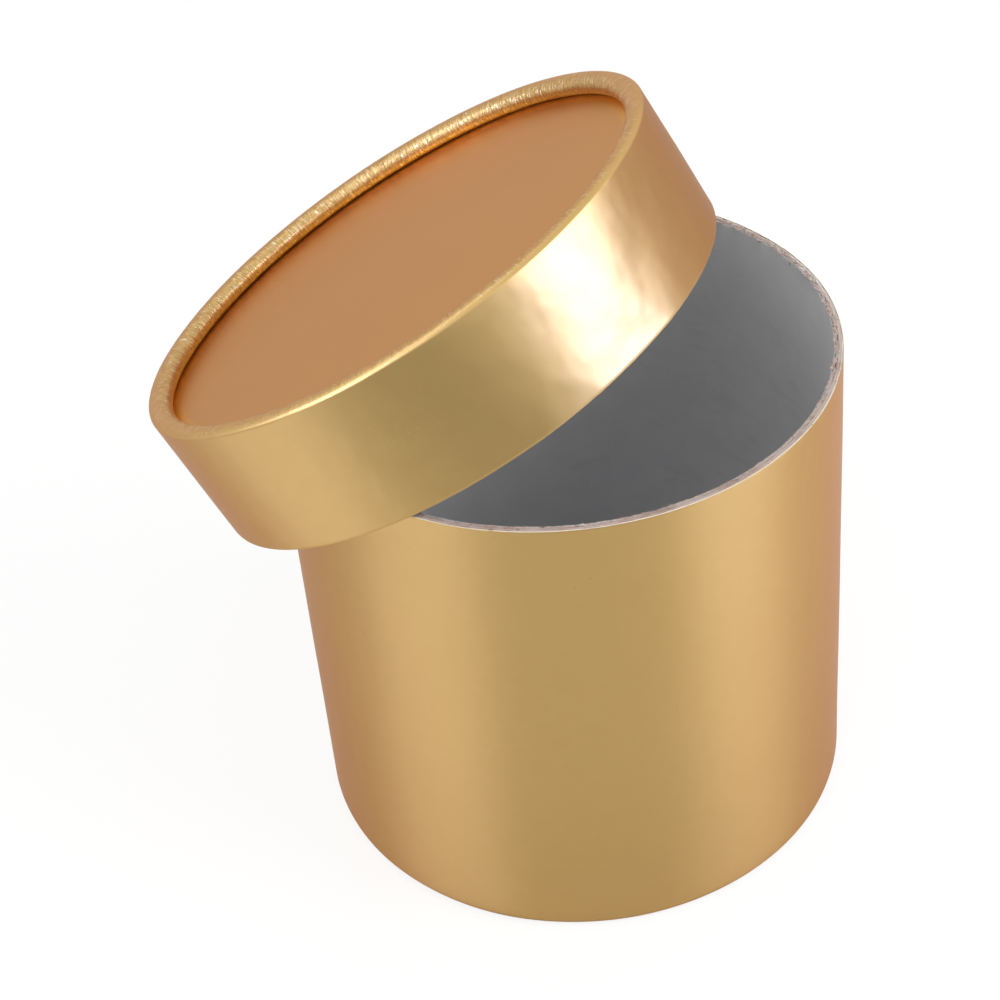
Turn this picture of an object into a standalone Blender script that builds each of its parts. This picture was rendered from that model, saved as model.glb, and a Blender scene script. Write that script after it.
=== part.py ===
"""Round flower box in gold foil paper, with its slip-over lid left leaning on the open rim.

The body is a wound paperboard tube. Its lower end is rolled inwards into a foot that carries the
round base, and a second ply of board stands on the base inside it. The lid is a shallow tube with
its upper end rolled inwards over a recessed round top. Foil paper covers the outside and both
rolls, and grey paper lines the inside. All lengths are in metres, and +Z is up.
"""

import math

import bmesh
import bpy
from mathutils import Matrix, Vector

# Overall sizes
BOX_RADIUS = 0.0800
BOX_HEIGHT = 0.1510
LID_HEIGHT = 0.0404

# Sheets that the box is made of
FOIL = 0.00018
LINER = 0.00012
GLUE = 0.00010
BOX_BOARD = 0.00120
SLEEVE_BOARD = 0.00100
LID_BOARD = 0.00090
BASE_BOARD = 0.00180
TOP_BOARD = 0.00120

# Rolled edges, measured over the foil
FOOT_ROLL_RADIUS = 0.0028
FOOT_FLAT_DEPTH = 0.00015
BEAD_ROLL_RADIUS = 0.0029
BEAD_SHOULDER_RADIUS = 0.0013
BEAD_FLAT_WIDTH = 0.0022

# Fits
LID_PLAY = 0.00040
SEAT_GAP = 0.00030
SEAM_GAP = 0.00030

# How the lid leans on the rim
LID_TILT = math.radians(29.4)
LID_LEAN_AZIMUTH = math.radians(159.3)

# Seams stand on a facet edge, counted round from +X: the two wraps' at the back, the ply's in front
BOX_SEAM_STEP = 13
LID_SEAM_STEP = 16
SLEEVE_SEAM_STEP = 43

# Facets of the round pieces and of the rolls; a roll's crest is one of its corners
ROUND_STEPS = 60
ROLL_STEPS = 10
ROLL_CREST_STEP = 3
ROLL_STEP = math.radians(90) / ROLL_CREST_STEP
ROLL_END = math.radians(285)
SMOOTH_ANGLE = math.radians(35)

# Radii of the box, from the foil inwards
COVER = FOIL + GLUE
BOX_TUBE_RADIUS = BOX_RADIUS - COVER
SLEEVE_RADIUS = BOX_TUBE_RADIUS - BOX_BOARD - GLUE
BOX_LINER_RADIUS = SLEEVE_RADIUS - SLEEVE_BOARD - GLUE
BOX_INSIDE_RADIUS = BOX_LINER_RADIUS - LINER

# Radii of the lid, from the play around the box outwards
LID_INSIDE_RADIUS = BOX_RADIUS + LID_PLAY
LID_LINER_RADIUS = LID_INSIDE_RADIUS + LINER
LID_TUBE_INSIDE = LID_LINER_RADIUS + GLUE
LID_TUBE_RADIUS = LID_TUBE_INSIDE + LID_BOARD
LID_RADIUS = LID_TUBE_RADIUS + COVER

# The box's wall before it is stood on its roll; the flat takes its depth off the crest
FOOT_REACH = BOX_HEIGHT + FOOT_FLAT_DEPTH

# Levels in the box: the foot roll, the base stack on it, and what stands on the base
FOOT_ROLL_TOP = 2 * FOOT_ROLL_RADIUS - FOOT_FLAT_DEPTH
BASE_LEVEL = FOOT_ROLL_TOP + SEAT_GAP
BASE_BOARD_LEVEL = BASE_LEVEL + COVER
BASE_BOARD_TOP = BASE_BOARD_LEVEL + BASE_BOARD
SLEEVE_LEVEL = BASE_BOARD_TOP + SEAT_GAP
FLOOR_PAPER_LEVEL = BASE_BOARD_TOP + GLUE

# Levels in the lid, from its lower edge: the top stack hangs under the bead
TOP_FOIL_LEVEL = LID_HEIGHT - 2 * BEAD_ROLL_RADIUS - SEAT_GAP - FOIL
TOP_BOARD_LEVEL = TOP_FOIL_LEVEL - GLUE - TOP_BOARD
TOP_LINER_LEVEL = TOP_BOARD_LEVEL - GLUE - LINER

# Discs that fill the tubes
BASE_RADIUS = BOX_TUBE_RADIUS - BOX_BOARD - SEAT_GAP
FLOOR_PAPER_RADIUS = BOX_INSIDE_RADIUS - SEAT_GAP
TOP_RADIUS = LID_TUBE_INSIDE - SEAT_GAP
TOP_LINER_RADIUS = LID_INSIDE_RADIUS - SEAT_GAP


def clear_scene():
    for obj in list(bpy.data.objects):
        bpy.data.objects.remove(obj)


def finish(name, colour, roughness, metallic):
    """A plain surface material; the colour is linear red, green and blue."""
    material = bpy.data.materials.new(name)
    material.use_nodes = True
    shader = material.node_tree.nodes["Principled BSDF"]
    shader.inputs["Base Color"].default_value = (*colour, 1)
    shader.inputs["Roughness"].default_value = roughness
    shader.inputs["Metallic"].default_value = metallic
    return material


def gold_foil_paper():
    return finish("gold foil paper", (0.66, 0.42, 0.15), 0.33, 1.0)


def copper_toned_foil_paper():
    return finish("copper-toned foil paper", (0.52, 0.27, 0.11), 0.42, 1.0)


def raw_paperboard():
    return finish("raw paperboard", (0.47, 0.36, 0.30), 0.90, 0.0)


def grey_lining_paper():
    return finish("grey lining paper", (0.60, 0.60, 0.60), 0.85, 0.0)


def object_from(name, mesh_builder, material, parent):
    """Turns the filled bmesh into a named object that hangs on its parent."""
    bmesh.ops.recalc_face_normals(mesh_builder, faces=mesh_builder.faces)
    mesh = bpy.data.meshes.new(name)
    mesh_builder.to_mesh(mesh)
    mesh_builder.free()
    mesh.materials.append(material)
    mesh.shade_smooth()
    mesh.set_sharp_from_angle(angle=SMOOTH_ANGLE)
    obj = bpy.data.objects.new(name, mesh)
    bpy.context.collection.objects.link(obj)
    obj.parent = parent
    return obj


def section(builder, outline, angle):
    """The outline's points, (distance from the axis, height), set up at one angle round it."""
    return [
        builder.verts.new((r * math.cos(angle), r * math.sin(angle), z)) for r, z in outline
    ]


def bridge(builder, first, second):
    for i, corner in enumerate(first):
        after = (i + 1) % len(first)
        builder.faces.new((corner, first[after], second[after], second[i]))


def tube(name, outline, material, parent):
    """A closed ring of this outline, as board wound round a mandrel."""
    builder = bmesh.new()
    turn = 2 * math.pi / ROUND_STEPS
    rings = [section(builder, outline, turn * step) for step in range(ROUND_STEPS)]
    for i, ring in enumerate(rings):
        bridge(builder, ring, rings[(i + 1) % ROUND_STEPS])
    return object_from(name, builder, material, parent)


def wrap(name, outline, seam_step, material, parent):
    """A sheet bent round until its two ends nearly meet in an upright seam."""
    builder = bmesh.new()
    turn = 2 * math.pi / ROUND_STEPS
    half_gap = SEAM_GAP / 2 / max(r for r, z in outline)
    angles = [turn * (seam_step + step) for step in range(ROUND_STEPS + 1)]
    angles[0] += half_gap
    angles[-1] -= half_gap
    rings = [section(builder, outline, angle) for angle in angles]
    for first, second in zip(rings, rings[1:]):
        bridge(builder, first, second)
    builder.faces.new(reversed(rings[0]))
    builder.faces.new(rings[-1])
    return object_from(name, builder, material, parent)


def disc(name, radius, level, thickness, material, parent):
    """A round cut from flat sheet, whose underside is at this level."""
    builder = bmesh.new()
    middle = Matrix.Translation((0, 0, level + thickness / 2))
    bmesh.ops.create_cone(
        builder,
        cap_ends=True,
        segments=ROUND_STEPS,
        radius1=radius,
        radius2=radius,
        depth=thickness,
        matrix=middle,
    )
    return object_from(name, builder, material, parent)


def strip(outer_radius, thickness, low, high):
    """The outline of a plain upright wall."""
    inner_radius = outer_radius - thickness
    return [(outer_radius, low), (outer_radius, high), (inner_radius, high), (inner_radius, low)]


def roll_angles(first_step=0, stride=1):
    """Where the corners of a roll stand round it, from the wall over the crest to the rolled end."""
    return [ROLL_STEP * step for step in range(first_step, ROLL_STEPS, stride)] + [ROLL_END]


def pressed(angles, roll, depth):
    """The crest's corner made into two, so that the roll has a flat of this depth there."""
    crest = angles[ROLL_CREST_STEP]
    half_flat = math.acos(1 - depth / roll)
    before = angles[:ROLL_CREST_STEP]
    after = angles[ROLL_CREST_STEP + 1 :]
    return [*before, crest - half_flat, crest + half_flat, *after]


def arc(middle_r, middle_z, reach, angles):
    return [(middle_r + reach * math.cos(a), middle_z + reach * math.sin(a)) for a in angles]


def foot_surface(depth, angles):
    """One surface of the box's wall, this far in from the foil's outside, with the roll on top."""
    middle_r = BOX_RADIUS - FOOT_ROLL_RADIUS
    middle_z = FOOT_REACH - FOOT_ROLL_RADIUS
    return [(BOX_RADIUS - depth, 0), *arc(middle_r, middle_z, FOOT_ROLL_RADIUS - depth, angles)]


def pressed_foot(depth):
    return foot_surface(depth, pressed(roll_angles(), FOOT_ROLL_RADIUS - depth, FOOT_FLAT_DEPTH))


def bead_surface(depth):
    """One surface of the lid's wall, this far in from the foil's outside: up the wall, round the
    tight shoulder, over the flattened top, and on round the roll."""
    shoulder_r = LID_RADIUS - BEAD_SHOULDER_RADIUS
    shoulder_z = LID_HEIGHT - BEAD_SHOULDER_RADIUS
    shoulder = BEAD_SHOULDER_RADIUS - depth
    turn = roll_angles()[: ROLL_CREST_STEP + 1]
    wall = (LID_RADIUS - depth, 0)
    return [wall, *arc(shoulder_r, shoulder_z, shoulder, turn), *bead_roll(depth)]


def bead_roll(depth, stride=1):
    """The part of that surface that goes on from the flattened top, over the crest and round."""
    middle_r = LID_RADIUS - BEAD_SHOULDER_RADIUS - BEAD_FLAT_WIDTH
    middle_z = LID_HEIGHT - BEAD_ROLL_RADIUS
    return arc(middle_r, middle_z, BEAD_ROLL_RADIUS - depth, roll_angles(ROLL_CREST_STEP, stride))


def folded_bead(depth):
    """The board's own inner side, folded sharp at the shoulder. It needs fewer corners, since
    nothing lies against it."""
    corner_r = LID_RADIUS - depth
    return [(corner_r, 0), (corner_r, LID_HEIGHT - depth), *bead_roll(depth, 2)]


def stood_on_roll(outline):
    """Turns a rolled wall upside down, so that its roll is the foot and its plain end the rim."""
    return [(r, BOX_HEIGHT - z) for r, z in outline]


def box_foil_wrap(parent, paper):
    """Foil paper from the rim down, round the foot roll and up inside it."""
    outline = pressed_foot(0) + pressed_foot(FOIL)[::-1]
    wrap("box_foil_wrap", stood_on_roll(outline), BOX_SEAM_STEP, paper, parent)


def box_tube(parent, board):
    """The wound tube. Its lower end is rolled inwards, and pressed flat where the box stands. The
    board's inner side needs fewer corners, since nothing lies against it."""
    inside = foot_surface(COVER + BOX_BOARD, roll_angles(stride=2))
    outline = pressed_foot(COVER) + inside[::-1]
    tube("box_tube", stood_on_roll(outline), board, parent)


def base_underside_foil(parent, paper):
    """Foil paper under the base board, lying on the crest of the foot roll."""
    disc("base_underside_foil", BASE_RADIUS, BASE_LEVEL, FOIL, paper, parent)


def base_board(parent, board):
    disc("base_board", BASE_RADIUS, BASE_BOARD_LEVEL, BASE_BOARD, board, parent)


def box_inner_sleeve(parent, board):
    """The second ply. It stands on the base board and traps it against the foot roll."""
    outline = strip(SLEEVE_RADIUS, SLEEVE_BOARD, SLEEVE_LEVEL, BOX_HEIGHT)
    wrap("box_inner_sleeve", outline, SLEEVE_SEAM_STEP, board, parent)


def box_wall_liner(parent, paper):
    outline = strip(BOX_LINER_RADIUS, LINER, SLEEVE_LEVEL, BOX_HEIGHT)
    wrap("box_wall_liner", outline, BOX_SEAM_STEP, paper, parent)


def base_floor_paper(parent, paper):
    disc("base_floor_paper", FLOOR_PAPER_RADIUS, FLOOR_PAPER_LEVEL, LINER, paper, parent)


def lid_foil_wrap(parent, paper):
    """Foil paper from the lid's lower edge up, over the bead and round inside it."""
    outline = bead_surface(0) + bead_surface(FOIL)[::-1]
    wrap("lid_foil_wrap", outline, LID_SEAM_STEP, paper, parent)


def lid_tube(parent, board):
    """The lid's wall. Its upper end is folded over at the shoulder and rolled under, into the bead."""
    outline = bead_surface(COVER) + folded_bead(COVER + LID_BOARD)[::-1]
    tube("lid_tube", outline, board, parent)


def lid_top_foil(parent, paper):
    """The recessed face of the lid, seated under the bead."""
    disc("lid_top_foil", TOP_RADIUS, TOP_FOIL_LEVEL, FOIL, paper, parent)


def lid_top_board(parent, board):
    disc("lid_top_board", TOP_RADIUS, TOP_BOARD_LEVEL, TOP_BOARD, board, parent)


def lid_top_liner(parent, paper):
    disc("lid_top_liner", TOP_LINER_RADIUS, TOP_LINER_LEVEL, LINER, paper, parent)


def lid_wall_liner(parent, paper):
    """Paper inside the lid's wall. Its upper edge holds the top board up against the bead."""
    outline = strip(LID_LINER_RADIUS, LINER, 0, TOP_BOARD_LEVEL - SEAT_GAP)
    wrap("lid_wall_liner", outline, LID_SEAM_STEP, paper, parent)


def lean_lid(carrier):
    """Lays the lid on three points of the rim: its top's underside on the low side, and the lower
    edge of its wall where it crosses the rim on either hand. Each point keeps the seat gap."""
    sine = math.sin(LID_TILT)
    cosine = math.cos(LID_TILT)
    crossing = BOX_RADIUS - (TOP_LINER_LEVEL - SEAT_GAP) / sine
    rim_reach = BOX_RADIUS + SEAT_GAP
    drop = sine * math.sqrt(crossing**2 + LID_INSIDE_RADIUS**2 - rim_reach**2)
    shift = crossing + drop * cosine / sine
    lean = Vector((math.cos(LID_LEAN_AZIMUTH), math.sin(LID_LEAN_AZIMUTH), 0))
    tipping_axis = Vector((0, 0, 1)).cross(lean)
    place = Matrix.Translation(lean * shift + Vector((0, 0, BOX_HEIGHT - drop)))
    carrier.matrix_local = place @ Matrix.Rotation(LID_TILT, 4, tipping_axis)


def centre_on_footprint(root):
    """Moves the whole object so that the middle of its outline from above is at the origin."""
    bpy.context.view_layer.update()
    points = [
        obj.matrix_world @ vertex.co
        for obj in bpy.data.objects
        if obj.type == "MESH"
        for vertex in obj.data.vertices
    ]
    for axis in (0, 1):
        reach = [point[axis] for point in points]
        root.location[axis] -= (min(reach) + max(reach)) / 2


def empty(name, parent=None):
    """A frame that pieces hang on. It has no shape of its own."""
    obj = bpy.data.objects.new(name, None)
    bpy.context.collection.objects.link(obj)
    obj.parent = parent
    return obj


def make_flower_box():
    clear_scene()
    gold = gold_foil_paper()
    copper = copper_toned_foil_paper()
    board = raw_paperboard()
    grey = grey_lining_paper()

    box = empty("flower_box")
    box_foil_wrap(box, gold)
    box_tube(box, board)
    base_underside_foil(box, gold)
    base_board(box, board)
    box_inner_sleeve(box, board)
    box_wall_liner(box, grey)
    base_floor_paper(box, grey)

    lid = empty("lid_carrier", box)
    lid_foil_wrap(lid, gold)
    lid_tube(lid, board)
    lid_top_foil(lid, copper)
    lid_top_board(lid, board)
    lid_top_liner(lid, grey)
    lid_wall_liner(lid, grey)

    lean_lid(lid)
    centre_on_footprint(box)


make_flower_box()
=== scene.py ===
"""Round flower box in gold foil paper, with its slip-over lid left leaning on the open rim."""

from math import acos, cos, pi, radians, sin

import bmesh
import bpy
import numpy as np
from mathutils import Matrix, Vector


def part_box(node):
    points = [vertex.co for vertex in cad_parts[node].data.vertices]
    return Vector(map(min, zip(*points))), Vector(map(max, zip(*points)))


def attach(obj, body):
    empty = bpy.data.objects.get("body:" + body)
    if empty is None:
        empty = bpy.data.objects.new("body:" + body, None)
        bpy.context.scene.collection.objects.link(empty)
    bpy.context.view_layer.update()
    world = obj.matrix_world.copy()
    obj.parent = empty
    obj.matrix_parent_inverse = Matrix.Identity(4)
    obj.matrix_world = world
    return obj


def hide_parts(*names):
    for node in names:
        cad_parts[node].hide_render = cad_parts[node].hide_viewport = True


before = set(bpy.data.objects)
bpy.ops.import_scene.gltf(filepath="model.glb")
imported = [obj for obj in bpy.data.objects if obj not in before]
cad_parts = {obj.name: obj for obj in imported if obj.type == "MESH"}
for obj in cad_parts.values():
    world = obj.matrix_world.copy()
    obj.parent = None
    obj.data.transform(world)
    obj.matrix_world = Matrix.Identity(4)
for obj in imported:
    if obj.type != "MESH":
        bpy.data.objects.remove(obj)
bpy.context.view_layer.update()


# The camera stands in front of the box, above it, and looks down at it a little from the right.
# It is held slightly turned about its own line of sight.

MIDDLE = (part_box("base_board")[0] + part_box("base_board")[1]) / 2
AXIS = Vector((MIDDLE.x, MIDDLE.y, 0))

camera_data = bpy.data.cameras.new("camera")
camera_data.sensor_width = 36
camera_data.lens = 83.92
camera_data.clip_end = 20
camera = bpy.data.objects.new("camera", camera_data)
camera.location = AXIS + Vector((0, -0.532364, 0.528944))
camera.rotation_mode = "QUATERNION"
camera.rotation_quaternion = (
    Matrix.Rotation(radians(2.0794), 3, "Z")
    @ Matrix.Rotation(radians(90 - 38.9673), 3, "X")
    @ Matrix.Rotation(radians(-5.8227), 3, "Z")
).to_quaternion()
bpy.context.collection.objects.link(camera)
bpy.context.scene.camera = camera
bpy.context.scene.view_settings.view_transform = "Standard"


# The studio: a pale table top with a faint gloss, a tall soft box on the right, weaker ones on
# the left, and a white surround that falls off towards the front of the room.


class Value:
    """What a node gives out. Adding to it, multiplying it and so on adds a Math node."""

    def __init__(self, socket):
        self.socket = socket
        self.tree = socket.id_data

    def __add__(self, other):
        return maths("ADD", self, other)

    def __sub__(self, other):
        return maths("SUBTRACT", self, other)

    def __rsub__(self, other):
        return maths("SUBTRACT", other, self)

    def __mul__(self, other):
        return maths("MULTIPLY", self, other)

    def __truediv__(self, other):
        return maths("DIVIDE", self, other)

    def __rtruediv__(self, other):
        return maths("DIVIDE", other, self)


class Outputs:
    """A node's outputs, each a value, by name or by number."""

    def __init__(self, node):
        self.node = node

    def __getitem__(self, key):
        return Value(self.node.outputs[key])


def add(tree, kind, links=None, **settings):
    """Adds a node, gives it its settings, and links or sets its inputs, by number or by name, in
    which an underscore stands for a space."""
    node = tree.nodes.new(kind)
    for setting, value in settings.items():
        setattr(node, setting, value)
    for key, value in (links or {}).items():
        socket = node.inputs[key.replace("_", " ") if isinstance(key, str) else key]
        if isinstance(value, Value):
            tree.links.new(value.socket, socket)
        elif socket.type == "RGBA":
            socket.default_value = (*value, 1)
        elif socket.type == "VECTOR" and isinstance(value, (int, float)):
            socket.default_value = (value, value, value)
        else:
            socket.default_value = value
    return Outputs(node)


def maths(operation, *numbers, clamp=False):
    """One Math node's result."""
    tree = next(number.tree for number in numbers if isinstance(number, Value))
    links = dict(enumerate(numbers))
    return add(tree, "ShaderNodeMath", links, operation=operation, use_clamp=clamp)[0]


def times_plus(first, second, third):
    """The first times the second, plus the third."""
    return maths("MULTIPLY_ADD", first, second, third)


def vector_maths(operation, *vectors):
    """One Vector Math node's result: a vector for MULTIPLY and DIVIDE, or else a number."""
    links = dict(enumerate(vectors))
    result = add(vectors[0].tree, "ShaderNodeVectorMath", links, operation=operation)
    return result["Vector" if operation in ("MULTIPLY", "DIVIDE") else "Value"]


def parts_of(vector):
    return add(vector.tree, "ShaderNodeSeparateXYZ", {0: vector})


def vector_of(x, y, z=0.0):
    return add(x.tree, "ShaderNodeCombineXYZ", {"X": x, "Y": y, "Z": z})[0]


def noise(place, scale, detail, distortion=0.0, dimensions="3D"):
    links = {"Vector": place, "Scale": scale, "Detail": detail, "Distortion": distortion}
    return add(place.tree, "ShaderNodeTexNoise", links, noise_dimensions=dimensions)["Fac"]


def span(value, low, high, to_low=0.0, to_high=1.0, smooth=True):
    """The value's place between low and high, as a number from to_low to to_high."""
    links = {"Value": value, "From Min": low, "From Max": high, "To Min": to_low, "To Max": to_high}
    kind = "SMOOTHSTEP" if smooth else "LINEAR"
    return add(value.tree, "ShaderNodeMapRange", links, interpolation_type=kind)["Result"]


def blend(factor, first, second):
    """A colour, the first where the factor is 0 and the second where it is 1."""
    links = {0: factor, 6: first, 7: second}
    return add(factor.tree, "ShaderNodeMix", links, data_type="RGBA")[2]


def new_material(name):
    material = bpy.data.materials.new(name)
    material.use_nodes = True
    material.node_tree.nodes.clear()
    return material, material.node_tree


def surfaced(material, **looks):
    """Ends a material in one surface with these looks."""
    surface = add(material.node_tree, "ShaderNodeBsdfPrincipled", looks)
    add(material.node_tree, "ShaderNodeOutputMaterial", {"Surface": surface[0]})
    return material


def seen_directly(path):
    """1 for what the camera or a clear surface shows, and 0 for what gives light."""
    return maths("MAXIMUM", path["Is Camera Ray"], path["Is Transmission Ray"])


def studio_surround():
    world = bpy.data.worlds.new("studio surround")
    bpy.context.scene.world = world
    world.use_nodes = True
    tree = world.node_tree
    tree.nodes.clear()
    path = add(tree, "ShaderNodeLightPath")
    glossy = path["Is Glossy Ray"]
    direction = add(tree, "ShaderNodeTexCoord")["Generated"]
    parts = parts_of(direction)
    height = parts["Z"]
    around = span(height, -0.15, 0.6, 0.70, 0.98)
    in_front = span(parts["Y"], -0.55, -0.95) * span(height, 0.26, 0.02)
    mirrored = around * times_plus(in_front, -0.45, 1)
    # The room's wall at the back right, which shiny surfaces mirror a little darker and warmer
    to_wall = vector_maths("DOT_PRODUCT", direction, (0.826, 0.557, -0.09))
    to_wall = span(to_wall, 0.76, 0.97) * glossy
    tone = blend(to_wall, (1, 1, 1), (0.88, 0.70, 0.74))
    given = (1 - glossy) * 0.85
    strength = maths("MAXIMUM", glossy * mirrored, seen_directly(path))
    strength = maths("MAXIMUM", strength, given)
    light = add(tree, "ShaderNodeBackground", {"Color": tone, "Strength": strength})
    add(tree, "ShaderNodeOutputWorld", {"Surface": light[0]})


def table_top():
    """The floor shows white, keeps the object's shadow, and mirrors the soft boxes faintly."""
    material, tree = new_material("pale table top")
    shown = seen_directly(add(tree, "ShaderNodeLightPath"))
    place = add(tree, "ShaderNodeTexCoord")["Object"]
    roughness = span(noise(place, 9.0, 4.0), 0.3, 0.7, 0.24, 0.28, smooth=False)
    spot = parts_of(place)
    forward = spot["Y"] * -1
    aside = maths("ABSOLUTE", spot["X"] - 0.012) / maths("MAXIMUM", forward, 0.02)
    before = span(aside, 1.1, 0.45) * span(forward, 0.02, 0.12)
    far_before = span(forward, 0.28, 0.55)
    behind = span(vector_maths("DISTANCE", place, (-0.18, 0.13, 0.0)), 0.24, 0.04)
    beyond = span(spot["Y"], 0.1, 0.4) * span(spot["X"], -0.05, 0.2)
    near_foot = span(vector_maths("LENGTH", place), 0.17, 0.07)
    # Painted shade: to the object, the floor's colour is darker in front of the box, far in front,
    # behind it on both sides and close round its foot
    lit = 1
    for mask, less in (
        (before, -0.14),
        (far_before, -0.22),
        (behind, -0.05),
        (beyond, -0.32),
        (near_foot, -0.08),
    ):
        lit = times_plus(mask, less, lit)
    painted_shade_floor = blend(lit, (0, 0, 0), (0.625, 0.62, 0.615))
    pale = blend(shown, painted_shade_floor, (0.97, 0.97, 0.97))
    looks = {"Base Color": pale, "Roughness": roughness, "IOR": 1.75}
    top = add(tree, "ShaderNodeBsdfPrincipled", looks)
    white = add(tree, "ShaderNodeEmission", {"Color": (1, 1, 1), "Strength": 1.0})
    mixed = add(tree, "ShaderNodeMixShader", {0: shown * 0.8, 1: top[0], 2: white[0]})
    add(tree, "ShaderNodeOutputMaterial", {"Surface": mixed[0]})
    mesh = bpy.data.meshes.new("table_top")
    builder = bmesh.new()
    bmesh.ops.create_circle(builder, cap_ends=True, segments=96, radius=0.85)
    builder.to_mesh(mesh)
    builder.free()
    mesh.materials.append(material)
    floor = bpy.data.objects.new("table_top", mesh)
    floor.location = (AXIS.x, AXIS.y, -0.00005)
    bpy.context.collection.objects.link(floor)


def lamp(name, azimuth, elevation, distance, size, power, colour, matt):
    """A soft lamp that either lights matt surfaces or is what shiny surfaces mirror. Azimuth 0 is
    straight behind the box, and 90 is on the right."""
    turn = radians(azimuth)
    rise = radians(elevation)
    level = cos(rise)
    away = Vector((sin(turn) * level, cos(turn) * level, sin(rise)))
    data = bpy.data.lights.new(name, "AREA")
    data.shape = "RECTANGLE"
    data.size, data.size_y = size
    data.energy = power
    data.color = colour
    obj = bpy.data.objects.new(name, data)
    obj.location = AXIS + Vector((0, 0, 0.12)) + away * distance
    obj.rotation_euler = away.to_track_quat("Z", "Y").to_euler()
    bpy.context.collection.objects.link(obj)
    obj.visible_camera = False
    obj.visible_diffuse = matt
    obj.visible_glossy = not matt


studio_surround()
table_top()
WHITE = (1, 1, 1)
COOL_WHITE = (0.94, 0.98, 1.46)
DEEP_BLUE = (0.16, 0.55, 2.70)
lamp("soft_box_right", 112, 28, 1.10, (0.70, 0.84), 6.8, WHITE, matt=True)
lamp("soft_box_right_face", 112, 28, 1.09, (0.74, 0.84), 5.9, COOL_WHITE, matt=False)
lamp("soft_box_right_tube", 112, 12, 1.08, (0.70, 0.24), 1.0, DEEP_BLUE, matt=False)
lamp("soft_box_left", -150, 50, 1.10, (0.64, 0.58), 3.0, WHITE, matt=True)
lamp("soft_box_left_face", -117, 32, 1.09, (0.80, 0.58), 5.1, COOL_WHITE, matt=False)
lamp("soft_box_left_upper_face", -74, 56, 1.09, (0.60, 0.50), 0.8, COOL_WHITE, matt=False)
lamp("soft_box_left_lower_face", -140, 10, 1.09, (0.50, 0.26), 0.9, COOL_WHITE, matt=False)


# The tube: a wound paperboard tube whose lower end is rolled inwards into the foot, pressed flat
# where it stands. Its upper end is a raw cut, which shows as the outer ring of the rim.

BOX_RADIUS = 0.0800
BOX_HEIGHT = 0.1510
FOIL = 0.00018
GLUE = 0.00010
COVER = FOIL + GLUE
BOX_BOARD = 0.00120
PLY = 0.00042
FOOT_ROLL_RADIUS = 0.0028
FOOT_FLAT_DEPTH = 0.00015
ROLL_END = radians(285)
TUBE_RADIUS = BOX_RADIUS - COVER
RIM_WIDTH = 0.0026
CRUSHED_FROM = 0.125
CRUSHED_TO = 0.150
SPLIT_WIDTH = 0.00016
FIBRE_DENSITY = 2600000.0


def named_input(tree, name, kind, default=None):
    socket = tree.interface.new_socket(name, in_out="INPUT", socket_type=kind)
    if default is not None:
        socket.default_value = default


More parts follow.
